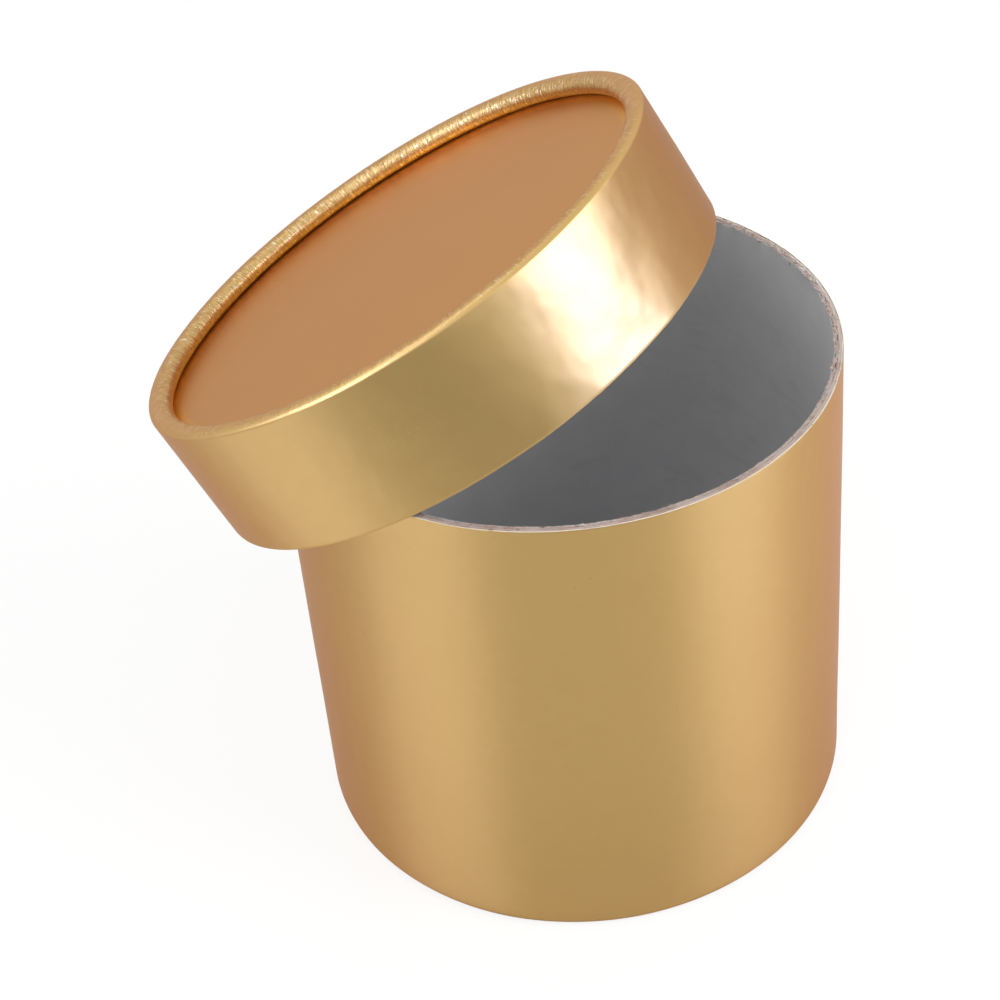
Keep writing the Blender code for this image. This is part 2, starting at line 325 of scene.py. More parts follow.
def turned_sheet_tree():
    """Turns an outline of (distance from the axis, height) round the axis, as a tube is wound or
    a wall is rolled. Every layer that is glued to another takes the same waves."""
    tree = bpy.data.node_groups.new("turned sheet", "GeometryNodeTree")
    tree.is_modifier = True
    named_input(tree, "Outline", "NodeSocketGeometry")
    starts = {"Reference Radius": 0.08, "Seam Width": 0.0003, "Wave Size": 0.05, "Seed": 1.0}
    starts |= {"Crease Width": 0.003, "Crease Length": 0.01, "Dent Size": 0.02}
    for name in (
        *("Reference Radius", "Flat", "Seed", "Seam Angle", "Seam Width", "Seam Depth"),
        *("Wave Size", "Wave Depth", "Crease Width", "Crease Length", "Crease Depth"),
        *("Dent Angle", "Dent Size", "Dent Depth", "Bulge Angle", "Bulge Depth", "Crushed By"),
        *("Split Angle", "Split Radius", "Split Depth", "Cut Roughness", "Fibre Density"),
    ):
        named_input(tree, name, "NodeSocketFloat", starts.get(name, 0.0))
    named_input(tree, "Columns", "NodeSocketInt", 360)
    named_input(tree, "Material", "NodeSocketMaterial")
    named_input(tree, "Cut Material", "NodeSocketMaterial")
    tree.interface.new_socket("Sheet", in_out="OUTPUT", socket_type="NodeSocketGeometry")
    inputs = add(tree, "NodeGroupInput")
    outline = inputs["Outline"]
    seed = inputs["Seed"]
    flat = inputs["Flat"]
    reference = inputs["Reference Radius"]
    position = add(tree, "GeometryNodeInputPosition")[0]

    def named(name, kind="FLOAT"):
        links = {"Name": name}
        return add(tree, "GeometryNodeInputNamedAttribute", links, data_type=kind)["Attribute"]

    def sampled(value, index, kind="FLOAT"):
        """What a corner of the outline has, by its number."""
        links = {"Geometry": outline, "Value": value, "Index": index}
        return add(tree, "GeometryNodeSampleIndex", links, data_type=kind, domain="POINT")["Value"]

    rows = add(tree, "GeometryNodeAttributeDomainSize", {"Geometry": outline})["Point Count"]
    grid = {"Size X": 1.0, "Size Y": 1.0, "Vertices X": inputs["Columns"] + 1, "Vertices Y": rows}
    grid = add(tree, "GeometryNodeMeshGrid", grid)["Mesh"]
    spot = parts_of(position)
    column = maths("ROUND", (spot["X"] + 0.5) * inputs["Columns"])
    row = maths("ROUND", (spot["Y"] + 0.5) * (rows - 1))
    keep = tree.nodes.new("GeometryNodeCaptureAttribute")
    keep.capture_items.new("FLOAT", "Column")
    keep.capture_items.new("FLOAT", "Row")
    for key, value in (("Geometry", grid), ("Column", column), ("Row", row)):
        tree.links.new(value.socket, keep.inputs[key])
    shaped, column, row = (Value(keep.outputs[key]) for key in ("Geometry", "Column", "Row"))

    # Round the axis: the first and the last column stand in the seam, the others evenly between
    share = maths("DIVIDE", column - 1, inputs["Columns"] - 2, clamp=True)
    half_seam = inputs["Seam Width"] / reference * 0.5
    at_start = maths("LESS_THAN", column, 0.5)
    at_end = maths("GREATER_THAN", column, inputs["Columns"] - 0.5)
    upright = 1 - flat
    in_seam = (at_start + at_end) * upright
    angle = times_plus(share, times_plus(half_seam, -2, 2 * pi), half_seam)
    from_seam = angle + half_seam * (at_end - at_start)
    angle = from_seam + inputs["Seam Angle"]
    cosine = maths("COSINE", angle)
    sine = maths("SINE", angle)

    corner = parts_of(sampled(position, row, "FLOAT_VECTOR"))
    radius = corner["X"]
    height = corner["Z"]
    out = parts_of(sampled(named("outwards", "FLOAT_VECTOR"), row, "FLOAT_VECTOR"))
    along, creased, rubbed, cut = (
        sampled(named(name), row) for name in ("along", "creased", "rubbed", "cut")
    )

    def turned_to(distance, level):
        return vector_of(distance * cosine, distance * sine, level)

    def noise_at(place, size, detail):
        scaled = vector_maths("DIVIDE", place, size)
        links = {"Vector": scaled, "W": seed, "Scale": 1.0, "Detail": detail}
        return add(tree, "ShaderNodeTexNoise", links, noise_dimensions="4D")["Fac"]

    def near_angle(middle, tightness):
        return maths("EXPONENT", (maths("COSINE", angle - middle) - 1) * tightness)

    # Waves: a wall is a little out of round, and a disc a little bowed
    wave_radius = {0: flat, 2: reference, 3: radius}
    wave_radius = add(tree, "ShaderNodeMix", wave_radius, data_type="FLOAT")[0]
    wave_place = turned_to(wave_radius, height * upright)
    wave = (noise_at(wave_place, inputs["Wave Size"], 1.5) - 0.54) * inputs["Wave Depth"]

    # Dents: one part of a wall has been pressed by fingers
    dent = (noise_at(wave_place, inputs["Dent Size"], 1.4) - 0.5) * inputs["Dent Depth"]
    wave = times_plus(dent, near_angle(inputs["Dent Angle"], 4.0), wave)

    # Where the lid has lain on the rim, the wall has been pushed a little out of round
    bulge = near_angle(inputs["Bulge Angle"], 9.0) * inputs["Bulge Depth"]
    wave = wave + bulge * span(height, 0.003, 0.045)

    # There its rim is crushed thinner as well, the inner side the most, and frayed
    leant_on = near_angle(inputs["Bulge Angle"] + 0.16, 7.0)
    deep = maths("DIVIDE", reference - radius, RIM_WIDTH, clamp=True)
    crushed = leant_on * span(height, CRUSHED_FROM, CRUSHED_TO) * inputs["Crushed By"]
    wave = times_plus(crushed, deep, wave)

    # Creases: where a wall is rolled inwards its foil gathers in short folds across the roll
    fold_place = turned_to(reference / inputs["Crease Width"], along / inputs["Crease Length"])
    fold = span(noise_at(fold_place, 1.0, 2.5), 0.34, 0.66) * creased * inputs["Crease Depth"]

    # A cut edge is left a little rough, with torn stretches, more so where the lid has lain
    own_place = turned_to(radius, height)
    grit = noise_at(own_place, 0.0008, 3.0)
    rag = noise_at(own_place, 0.0024, 2.0)
    torn = times_plus(span(noise_at(own_place, 0.011, 1.0), 0.48, 0.68), 1.2, 1.2)
    frayed_here = maths("GREATER_THAN", inputs["Crushed By"], 0) * leant_on
    torn = times_plus(frayed_here, 0.5, torn) * inputs["Cut Roughness"]
    frayed = (times_plus(grit, 1.2, rag) - 1.1) * torn * cut * times_plus(deep, 2.4, 0.5)
    split = maths("POWER", (radius - inputs["Split Radius"]) / SPLIT_WIDTH, 2)
    split = maths("EXPONENT", split * -1) * near_angle(inputs["Split Angle"], 420.0)
    grit = ((grit + rag - 1.3) * torn - split * inputs["Split Depth"]) * cut

    moved_radius = times_plus(fold, out["X"], times_plus(wave, upright, radius))
    moved_radius = moved_radius - in_seam * inputs["Seam Depth"] + frayed
    moved_height = times_plus(fold, out["Z"], times_plus(wave, flat, height)) + grit
    moved = turned_to(moved_radius, moved_height)
    shaped = add(tree, "GeometryNodeSetPosition", {"Geometry": shaped, "Position": moved})[0]

    def stored(geometry, name, value, kind="FLOAT", domain="POINT"):
        links = {"Geometry": geometry, "Name": name, "Value": value}
        settings = {"data_type": kind, "domain": domain}
        return add(tree, "GeometryNodeStoreNamedAttribute", links, **settings)[0]

    def covered(geometry, material, where=True):
        links = {"Geometry": geometry, "Selection": where, "Material": material}
        return add(tree, "GeometryNodeSetMaterial", links)["Geometry"]

    shaped = stored(shaped, "own_place", own_place, "FLOAT_VECTOR")
    for name, value in (("rubbed", rubbed), ("creased", creased), ("frayed", frayed_here)):
        shaped = stored(shaped, name, value)
    shaped = stored(shaped, "in_seam", in_seam)
    laid = {0: flat, 4: vector_of(from_seam * reference, along), 5: turned_to(radius, 0.0)}
    laid = add(tree, "ShaderNodeMix", laid, data_type="VECTOR")[1]
    shaped = stored(shaped, "UVMap", laid, "FLOAT2", "CORNER")
    cut_after = sampled(named("cut_after"), maths("FLOOR", row))
    shaped = stored(shaped, "cut_face", cut_after, domain="FACE")
    shaped = add(tree, "GeometryNodeMergeByDistance", {"Geometry": shaped, "Distance": 0.000002})[0]
    shaped = add(tree, "GeometryNodeSetShadeSmooth", {0: shaped})[0]
    shaped = add(tree, "GeometryNodeRealizeInstances", {0: shaped})[0]
    cut_face = maths("GREATER_THAN", named("cut_face"), 0.5)
    shaped = covered(shaped, inputs["Material"])
    shaped = covered(shaped, inputs["Cut Material"], cut_face)

    # Torn fibres lie on the cut end of a board, most of them nearly flat
    facing = parts_of(add(tree, "GeometryNodeInputNormal")[0])["Z"]
    on_top = cut_face * maths("GREATER_THAN", facing, 0.3)
    roots = {"Mesh": shaped, "Selection": on_top, "Density": inputs["Fibre Density"], "Seed": 5}
    roots = add(tree, "GeometryNodeDistributePointsOnFaces", roots)["Points"]
    ends = {"Radius Top": 0.000015, "Radius Bottom": 0.000048}
    fibre = {"Vertices": 3, "Side Segments": 1, "Depth": 0.0007, **ends}
    fibre = add(tree, "GeometryNodeMeshCone", fibre)["Mesh"]
    lean = {"Min": (1.15, -0.5, -3.14), "Max": (1.62, 0.5, 3.14), "Seed": 2}
    lean = add(tree, "FunctionNodeRandomValue", lean, data_type="FLOAT_VECTOR")["Value"]
    length = add(tree, "FunctionNodeRandomValue", {2: 0.4, 3: 1.5, "Seed": 8}, data_type="FLOAT")[1]
    fibres = {"Points": roots, "Instance": fibre, "Rotation": lean, "Scale": length}
    fibres = add(tree, "GeometryNodeInstanceOnPoints", fibres)["Instances"]
    fibres = add(tree, "GeometryNodeRealizeInstances", {0: fibres})[0]
    fibres = stored(fibres, "own_place", position, "FLOAT_VECTOR")
    fibres = stored(fibres, "frayed", 1.0)
    fibres = covered(fibres, inputs["Cut Material"])
    joined = tree.nodes.new("GeometryNodeJoinGeometry")
    for geometry in (fibres, shaped):
        tree.links.new(geometry.socket, joined.inputs[0])
    add(tree, "NodeGroupOutput", {"Sheet": Value(joined.outputs[0])})
    return tree


turned_sheet = turned_sheet_tree()


class Outline:
    """The outline of a sheet's cut through the axis, walked corner by corner."""

    def __init__(self):
        self.corners = []
        self.cuts = []

    def to(self, r, z, out=(1, 0), creased=0.0, rubbed=0.0, cut=0.0):
        self.corners.append((r, z, out[0], out[1], creased, rubbed, cut))
        return self

    def cut_from_here(self):
        """The next edge is a cut through the sheet."""
        self.cuts.append(len(self.corners) - 1)
        return self

    def closed(self):
        self.corners.append(self.corners[0])
        return self


def turned(name, outline, place, materials, **sizes):
    """Makes a piece by turning its outline, and lays it in its place."""
    corners = np.array(outline.corners)
    mesh = bpy.data.meshes.new(name + "_outline")
    count = len(corners)
    points = [(r, 0, z) for r, z in corners[:, :2]]
    mesh.from_pydata(points, [(i, i + 1) for i in range(count - 1)], [])
    steps = np.hypot(*np.diff(corners[:, :2], axis=0).T)
    for attribute, values in (
        ("along", np.concatenate([[0], np.cumsum(steps)])),
        ("creased", corners[:, 4]),
        ("rubbed", corners[:, 5]),
        ("cut", corners[:, 6]),
        ("cut_after", np.isin(np.arange(count), outline.cuts)),
    ):
        layer = mesh.attributes.new(attribute, "FLOAT", "POINT")
        layer.data.foreach_set("value", np.asarray(values, np.float32))
    layer = mesh.attributes.new("outwards", "FLOAT_VECTOR", "POINT")
    outwards = np.stack([corners[:, 2], np.zeros(count), corners[:, 3]], axis=1)
    layer.data.foreach_set("vector", outwards.astype(np.float32).ravel())
    source = bpy.data.objects.new(name + "_outline", mesh)
    bpy.context.collection.objects.link(source)
    modifier = source.modifiers.new("turned", "NODES")
    modifier.node_group = turned_sheet
    given = {"Material": materials[0], "Cut_Material": materials[-1], **sizes}
    for item in turned_sheet.interface.items_tree:
        key = item.name.replace(" ", "_")
        if item.in_out == "INPUT" and key in given:
            modifier[item.identifier] = given.pop(key)
    if given:
        raise ValueError(f"no such input: {sorted(given)}")
    graph = bpy.context.evaluated_depsgraph_get()
    made = bpy.data.meshes.new_from_object(source.evaluated_get(graph), depsgraph=graph)
    bpy.data.objects.remove(source)
    return finished(name, made, place)


def finished(name, mesh, place):
    """A piece at the origin with its place in its mesh, its faces outwards and its edges crisp."""
    builder = bmesh.new()
    builder.from_mesh(mesh)
    bmesh.ops.recalc_face_normals(builder, faces=builder.faces)
    builder.to_mesh(mesh)
    builder.free()
    mesh.transform(place)
    mesh.name = name
    mesh.set_sharp_from_angle(angle=radians(38))
    piece = bpy.data.objects.new(name, mesh)
    bpy.context.collection.objects.link(piece)
    return piece


def levels(low, high, step):
    """Heights from low to high, about this far apart, without the two ends."""
    count = max(1, round(abs(high - low) / step))
    return [low + (high - low) * i / count for i in range(1, count)]


def turns(first, last, steps):
    return [first + (last - first) * i / steps for i in range(steps + 1)]


def arc(middle_r, middle_z, reach, angles):
    """Corners round part of a circle, each with the way it faces."""
    corners = []
    for a in angles:
        out = (cos(a), sin(a))
        corners.append((middle_r + reach * out[0], middle_z + reach * out[1], out))
    return corners


def foot_side(depth):
    """One surface of the box's wall, this far in from the foil's outside, with the roll on top.
    Each corner has its place, the way it faces, how gathered it is and how rubbed."""
    roll = FOOT_ROLL_RADIUS - depth
    middle_r = BOX_RADIUS - FOOT_ROLL_RADIUS
    middle_z = BOX_HEIGHT + FOOT_FLAT_DEPTH - FOOT_ROLL_RADIUS
    crest = radians(90)
    half_flat = acos(1 - FOOT_FLAT_DEPTH / roll)
    angles = turns(0, crest - half_flat, 10) + turns(crest + half_flat, ROLL_END, 20)
    walk = [(BOX_RADIUS - depth, z, (1, 0), 0, 0) for z in levels(0, middle_z, 0.004)]
    for r, z, out in arc(middle_r, middle_z, roll, angles):
        walk.append((r, z, out, 0, max(0, 1 - abs(out[0]) / 0.6)))
    return walk


box_place = Matrix.Translation(AXIS)
BOX_WAVES = dict(
    Wave_Depth=0.0006,
    Wave_Size=0.07,
    Bulge_Angle=radians(22),
    Bulge_Depth=0.00055,
    Crushed_By=0.0007,
    Seed=3.0,
    Reference_Radius=BOX_RADIUS,
)


def shader_group(name, given, gives):
    """A new group of shader nodes. It is given sizes, or None for a place, and gives numbers."""
    tree = bpy.data.node_groups.new(name, "ShaderNodeTree")
    for key, default in given.items():
        kind = "NodeSocketVector" if default is None else "NodeSocketFloat"
        named_input(tree, key, kind, default)
    for key in gives:
        tree.interface.new_socket(key, in_out="OUTPUT", socket_type="NodeSocketFloat")
    return tree, add(tree, "NodeGroupInput")


def grain_group():
    """Paper's own grain: fine fibres lying mostly one way, over a soft clouding."""
    sizes = {"Fibre Width": 0.0002, "Fibre Stretch": 4.0, "Cloud Size": 0.006}
    tree, inputs = shader_group("paper grain", {"Place": None, **sizes}, ("Fibres", "Clouding"))
    place = inputs["Place"]
    per_metre = 1 / inputs["Fibre Width"]
    stretched = per_metre / inputs["Fibre Stretch"]
    heights = []
    for first, second in ((per_metre, stretched), (stretched, per_metre)):
        spread = vector_maths("MULTIPLY", place, vector_of(first, second, per_metre))
        heights.append(noise(spread, 1.0, 2.0, 0.6))
    cloud = noise(vector_maths("DIVIDE", place, inputs["Cloud Size"]), 1.0, 3.0)
    add(tree, "NodeGroupOutput", {"Fibres": (heights[0] + heights[1]) * 0.5, "Clouding": cloud})
    return tree


def specks_group():
    """Scattered small marks: one speck in some of the cells of a loose net."""
    sizes = {"Spacing": 0.004, "Size": 0.1, "Share": 0.2}
    tree, inputs = shader_group("specks", {"Place": None, **sizes}, ("Specks",))
    scaled = vector_maths("DIVIDE", inputs["Place"], inputs["Spacing"])
    cells = add(tree, "ShaderNodeTexVoronoi", {"Vector": scaled, "Scale": 1.0})
    lot = add(tree, "ShaderNodeSeparateColor", {0: cells["Color"]})
    chosen = maths("LESS_THAN", lot[0], inputs["Share"])
    size = inputs["Size"] * span(lot[1], 0, 1, 0.4, 1.0)
    inside = maths("DIVIDE", size - cells["Distance"], size * 0.5, clamp=True)
    add(tree, "NodeGroupOutput", {"Specks": inside * chosen})
    return tree


paper_grain = grain_group()
specks = specks_group()


def use(tree, group, **links):
    """Places a shared node group, and sets or links its inputs."""
    return add(tree, "ShaderNodeGroup", links, node_tree=group)


def bumped(height, distance, under=None):
    """The way a surface faces with this height on it, and with another bump under that."""
    links = {"Height": height, "Distance": distance, **({"Normal": under} if under else {})}
    return add(height.tree, "ShaderNodeBump", links)["Normal"]


def read(tree, name, kind="Fac"):
    return add(tree, "ShaderNodeAttribute", attribute_name=name)[kind]


def raw_board(name, first_ply, paper_from=0.0):
    """Grey-brown paperboard, with its plies and torn fibres on the cut end. From one radius on,
    the white core of the foil paper has stayed on it."""
    material, tree = new_material(name)
    place = read(tree, "own_place", "Vector")
    parts = parts_of(place)
    radius = vector_maths("LENGTH", vector_of(parts["X"], parts["Y"]))
    grain = use(tree, paper_grain, Place=place, Fibre_Width=0.00022, Cloud_Size=0.005)
    ragged = times_plus(grain["Clouding"], 0.00035, radius)
    ragged = times_plus(grain["Fibres"], 0.00018, ragged)
    into = (ragged - first_ply) / PLY
    joint = span(maths("ABSOLUTE", maths("FRACT", into) - 0.5), 0.38, 0.5, 0.0, 0.4)
    lot = {"W": maths("FLOOR", into)}
    lot = add(tree, "ShaderNodeTexWhiteNoise", lot, noise_dimensions="1D")["Value"]
    tone = blend(lot, (0.50, 0.385, 0.33), (0.42, 0.325, 0.285))
    tone = blend(span(grain["Clouding"], 0.3, 0.7), tone, (0.45, 0.375, 0.345))
    torn = span(noise(place, 90.0, 3.0), 0.50, 0.66)
    tone = blend(torn * 0.7, tone, (0.30, 0.205, 0.165))
    tone = blend(span(grain["Fibres"], 0.52, 0.72) * 0.55, tone, (0.62, 0.54, 0.49))
    around = maths("ARCTAN2", parts["Y"], parts["X"] + 0.000001)
    strip = noise(vector_of(radius * 2600, around), 1.0, 2.0)
    strip = span(strip, 0.50, 0.60) * read(tree, "frayed")
    tone = blend(strip * 0.85, tone, (0.80, 0.77, 0.74))
    if paper_from:
        outside = times_plus(grain["Fibres"], 0.00030, radius)
        outside = span(outside, paper_from, paper_from + 0.00006)
        tone = blend(outside, tone, (0.86, 0.80, 0.70))
    tone = blend(joint * 0.55, tone, (0.17, 0.11, 0.085))
    brown = use(tree, specks, Place=place, Spacing=0.0022, Size=0.32, Share=0.22)
    tone = blend(brown[0] * 0.6, tone, (0.20, 0.115, 0.07))
    normal = bumped(grain["Fibres"] - joint * 0.5, 0.00016)
    roughness = span(grain["Fibres"], 0.3, 0.7, 0.82, 0.96, smooth=False)
    return surfaced(
        material, Base_Color=tone, Roughness=roughness, Normal=normal, Specular_IOR_Level=0.25
    )


tube_board = raw_board(
    "raw paperboard of the tube", TUBE_RADIUS - BOX_BOARD, paper_from=TUBE_RADIUS - 0.00010
)


def thinned(walk, share):
    """One corner in so many, with the first and the last: enough where a surface is glued."""
    return walk[:1] + walk[share:-1:share] + walk[-1:]


def board_wall(side, thickness):
    """A wall of board from its cut end to its roll, and back up its inner side."""
    line = Outline()
    corner = 0.00012
    front = thinned(side(COVER), 2)
    back = thinned(side(COVER + thickness), 2)
    radius = front[0][0]
    inner = back[0][0]
    line.to(radius, corner, rubbed=1, cut=1)
    for r, z, *_ in front:
        line.to(r, z)
    line.cut_from_here()
    for r, z, *_ in reversed(back):
        line.to(r, z)
    line.to(inner, corner, rubbed=1, cut=1)
    line.cut_from_here()
    line.to(inner + corner, 0.0, cut=1)
    for i in range(1, 8):
        line.cut_from_here()
        line.to(inner + corner + (thickness - 2 * corner) * i / 8, 0.0, cut=1)
    line.cut_from_here()
    line.to(radius - corner, 0.0, cut=1)
    line.cut_from_here()
    return line.closed()


def stood(line):
    line.corners = [(r, BOX_HEIGHT - z, a, -b, *rest) for r, z, a, b, *rest in line.corners]
    return line


tube = turned(
    "tube_wall",
    stood(board_wall(foot_side, BOX_BOARD)),
    box_place,
    [tube_board],
    Columns=1000,
    Cut_Roughness=0.00030,
    Fibre_Density=FIBRE_DENSITY,
    Split_Angle=radians(34),
    Split_Radius=TUBE_RADIUS - 0.0003,
    Split_Depth=0.0008,
    **BOX_WAVES,
)
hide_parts("box_tube")
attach(tube, "box")


# The outer wrap: one sheet of gold foil paper glued round the tube, from the rim down, round the
# foot and up inside it. Its ends meet in an upright seam at the back, and its cut edge is white.

BOX_SEAM = radians(78)
SEAM_GAP = 0.00030


def hairlines_group():
    """A few fine scratches, short and lying two ways, close round one spot."""
    given = {"Place": None, "Spot": None, "Reach": 0.02}
    tree, inputs = shader_group("hairline scratches", given, ("Scratches",))
    lines = []
    for turn, spacing in ((0.9, 0.006), (-0.7, 0.009)):
        place = {"Vector": inputs["Place"], "Rotation": (0, 0, turn), "Scale": (18, 1, 1)}
        place = vector_maths("DIVIDE", add(tree, "ShaderNodeMapping", place)[0], spacing)
        cells = {"Vector": place, "Scale": 1.0}
        cells = add(tree, "ShaderNodeTexVoronoi", cells, voronoi_dimensions="2D")
        lot = add(tree, "ShaderNodeSeparateColor", {0: cells["Color"]})
        chosen = maths("LESS_THAN", lot[0], 0.16)
        lines.append(span(cells["Distance"], 0.13, 0.03) * chosen)
    away = vector_maths("DISTANCE", inputs["Place"], inputs["Spot"])
    near = maths("SUBTRACT", 1, away / inputs["Reach"], clamp=True)
    add(tree, "NodeGroupOutput", {"Scratches": maths("MAXIMUM", *lines) * near})
    return tree


hairlines = hairlines_group()


def folds_group():
    """Short folds that lie across a rolled edge, where the sheet has been gathered, with masks for
    their painted shade and painted glints.
    """
    gives = ("Height", "Valleys", "Glints", "Strokes")
    tree, inputs = shader_group("crosswise folds", {"Place": None}, gives)
    layers = []
    for across, along, detail in ((640, 90, 2.5), (2400, 420, 1.5)):
        place = {"Vector": inputs["Place"], "Scale": (across, along, 1)}
        place = add(tree, "ShaderNodeMapping", place)[0]
        layers.append(noise(place, 1.0, detail, 0.8, "2D"))
    broad, fine = layers
    valleys = span(maths("ABSOLUTE", broad - 0.5), 0.022, 0.003)
    height = times_plus(valleys, -0.25, times_plus(fine, 0.60, broad))
    painted_glints = span(fine, 0.60, 0.74)
    strokes = span(fine, 0.54, 0.36)
    add(tree, "NodeGroupOutput", dict(zip(gives, (height, valleys, painted_glints, strokes))))
    return tree


folds = folds_group()


GOLD = (0.645, 0.430, 0.158)
DEEPER_GOLD = (0.61, 0.395, 0.138)
FOIL_ROUGHNESS = 0.32


def foil_paper(
    name, colour, deeper, scratched_at, reach, mottle=0.35, coat=0.12, crinkled=False, glow_painted_from=0
):
    """Metal foil on paper: satin, with the paper's grain and a soft mottle showing through it. From
    one radius on, a round sheet is painted brighter orange towards its edge, a painted reflection."""
    material, tree = new_material(name)
    unrolled = add(tree, "ShaderNodeUVMap", uv_map="UVMap")["UV"]
    place = read(tree, "own_place", "Vector")
    grain = use(
        tree, paper_grain, Place=place, Fibre_Width=0.00045, Fibre_Stretch=1.6, Cloud_Size=0.0045
    )
    broad = noise(place, 28.0, 2.0)
    dark = use(tree, specks, Place=place, Spacing=0.0042, Size=0.045, Share=0.16)
    scratched = use(tree, hairlines, Place=unrolled, Spot=scratched_at, Reach=reach)
    shade = span(grain["Clouding"], 0.3, 0.7, 0.0, mottle)
    tone = blend(shade, colour, deeper)
    tone = blend(span(broad, 0.35, 0.65, 0.0, 0.5), tone, colour)
    tone = blend(dark[0] * 0.7, tone, (0.16, 0.07, 0.02))
    if glow_painted_from:
        # Painted reflection: from this radius on, the disc is painted a brighter orange, standing
        # for the bead's glow mirrored in it
        out = span(vector_maths("LENGTH", unrolled), glow_painted_from, glow_painted_from + 0.0050)
        tone = blend(out, tone, (0.86, 0.53, 0.125))
    # Paler where rubbed: wear at the cut ends and the foot, and on the lid's shoulder partly a
    # painted highlight
    wear_and_sheen = span(read(tree, "rubbed") * grain["Fibres"], 0.44, 0.66)
    tone = blend(wear_and_sheen * 0.62, tone, (0.90, 0.79, 0.60))
    tone = blend(scratched[0] * 0.38, tone, (0.88, 0.74, 0.50))
    seam = read(tree, "in_seam")
    gloss = span(broad, 0.3, 0.7, FOIL_ROUGHNESS - 0.02, FOIL_ROUGHNESS + 0.02, smooth=False)
    gloss = times_plus(scratched[0], -0.12, gloss)
    gloss = times_plus(wear_and_sheen, 0.08, gloss)
    gloss = times_plus(read(tree, "rubbed"), 0.10, gloss)
    normal = bumped(grain["Clouding"], 0.000012 * (0.5 + mottle))
    normal = bumped(grain["Fibres"], 0.000006, under=normal)
    normal = bumped(scratched[0], 0.000016, under=normal)
    if crinkled:
        handled = noise(place, 75.0, 1.6)
        normal = bumped(handled, 0.00038, under=normal)
        gathered = read(tree, "creased")
        folded = use(tree, folds, Place=unrolled)
        normal = bumped(folded["Height"] * gathered, 0.00024, under=normal)
        # Painted shade in the folds' valleys and fine strokes, and painted highlights as glints on
        # their crests
        for mark, weight, colour in (
            ("Valleys", 0.5, (0.34, 0.17, 0.05)),
            ("Strokes", 0.5, (0.40, 0.22, 0.07)),
            ("Glints", 0.7, (0.95, 0.84, 0.62)),
        ):
            tone = blend(folded[mark] * gathered * weight, tone, colour)
        seam = seam * times_plus(gathered, -0.85, 1)
    tone = blend(seam * 0.85, tone, (0.10, 0.055, 0.025))
    return surfaced(
        material,
        Base_Color=tone,
        Roughness=gloss,
        Normal=normal,
        Metallic=1.0,
        Specular_Tint=(1.0, 0.67, 0.61),
        Coat_Weight=coat,
        Coat_Roughness=0.30,
        Coat_IOR=1.5,
    )


def white_paper_edge():
    """The white core of a foil or lining paper, where it is cut through."""
    material, tree = new_material("white paper edge")
    place = read(tree, "own_place", "Vector")
    grain = use(tree, paper_grain, Place=place, Fibre_Width=0.00012, Cloud_Size=0.003)
    tone = blend(span(grain["Clouding"], 0.35, 0.65), (0.88, 0.84, 0.76), (0.76, 0.66, 0.50))
    tone = blend(span(grain["Fibres"], 0.62, 0.75, 0, 0.7), tone, (0.50, 0.36, 0.20))
    return surfaced(
        material,
        Base_Color=tone,
        Roughness=span(grain["Fibres"], 0.3, 0.7, 0.7, 0.9, smooth=False),
        Normal=bumped(grain["Fibres"], 0.00004),
    )


gold_foil = foil_paper(
    "gold foil paper", GOLD, DEEPER_GOLD, scratched_at=(0.10, 0.08, 0.0), reach=0.02
)
paper_edge = white_paper_edge()


def foil_wall(side):
    """A foil wall from its cut end, pressed slightly over, to the end of its roll, and back on its
    glued side."""
    line = Outline()
    for depth, order in ((0.0, 1), (FOIL, -1)):
        walk = side(depth) if order > 0 else thinned(side(depth), 3)
        radius = walk[0][0]
        cut_end = [(radius, 0.0, (1, 0), 0, 0.6)]
        if order > 0:
            cut_end = [
                (radius - 0.00011, 0.0, (1, 0), 0, 0.8),
                (radius, 0.0004, (1, 0), 0, 0.5),
                (radius, 0.0008, (1, 0), 0, 0),
            ]
        for r, z, out, gathered, rubbed in [*cut_end, *walk][::order]:
            line.to(r, z, out, gathered, rubbed, 1.0 if z == 0 else 0.0)
        line.cut_from_here()
    return line.closed()


wrap = turned(
    "gold_foil_wrap",
    stood(foil_wall(foot_side)),
    box_place,
    [gold_foil, paper_edge],
    Columns=480,
    Seam_Angle=BOX_SEAM,
    Seam_Width=SEAM_GAP,
    Seam_Depth=0.00012,
    Cut_Roughness=0.00012,
    **BOX_WAVES,
)
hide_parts("box_foil_wrap")
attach(wrap, "box")


# The inner ply: a second sleeve of board bent round inside the tube. It stands on the base, and
# its cut end is the inner ring of the rim.

SLEEVE_BOARD = 0.00100
SLEEVE_RADIUS = TUBE_RADIUS - BOX_BOARD - GLUE
GLUE_LAYER = 0.7 * GLUE
GLUED_RADIUS = SLEEVE_RADIUS + GLUE_LAYER
SLEEVE_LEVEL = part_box("box_inner_sleeve")[0].z
SLEEVE_SEAM = radians(258)

sleeve_board = raw_board("raw paperboard of the inner ply", SLEEVE_RADIUS - SLEEVE_BOARD)


def upright_sheet(radius, thickness, low, high, corner=0.00002, cuts=1):
    """A plain upright wall of sheet: up the outside, over the cut end, and down the inside."""
    line = Outline()
    inner = radius - thickness
    line.to(radius, low)
    for z in levels(low, high - corner, 0.006):
        line.to(radius, z)
    line.to(radius, high - corner, rubbed=1, cut=1)
    line.cut_from_here()
    across = thickness - 2 * corner
    for i in range(cuts + 1):
        line.to(radius - corner - across * i / cuts, high, cut=1)
        line.cut_from_here()
    line.to(inner, high - corner, (-1, 0), rubbed=1, cut=1)
    line.to(inner, high - 0.0004, (-1, 0), rubbed=1, cut=0.35)
    for z in levels(high - 0.0006, low, 0.006):
        line.to(inner, z, (-1, 0))
    line.to(inner, low, (-1, 0))
    line.cut_from_here()
    return line.closed()


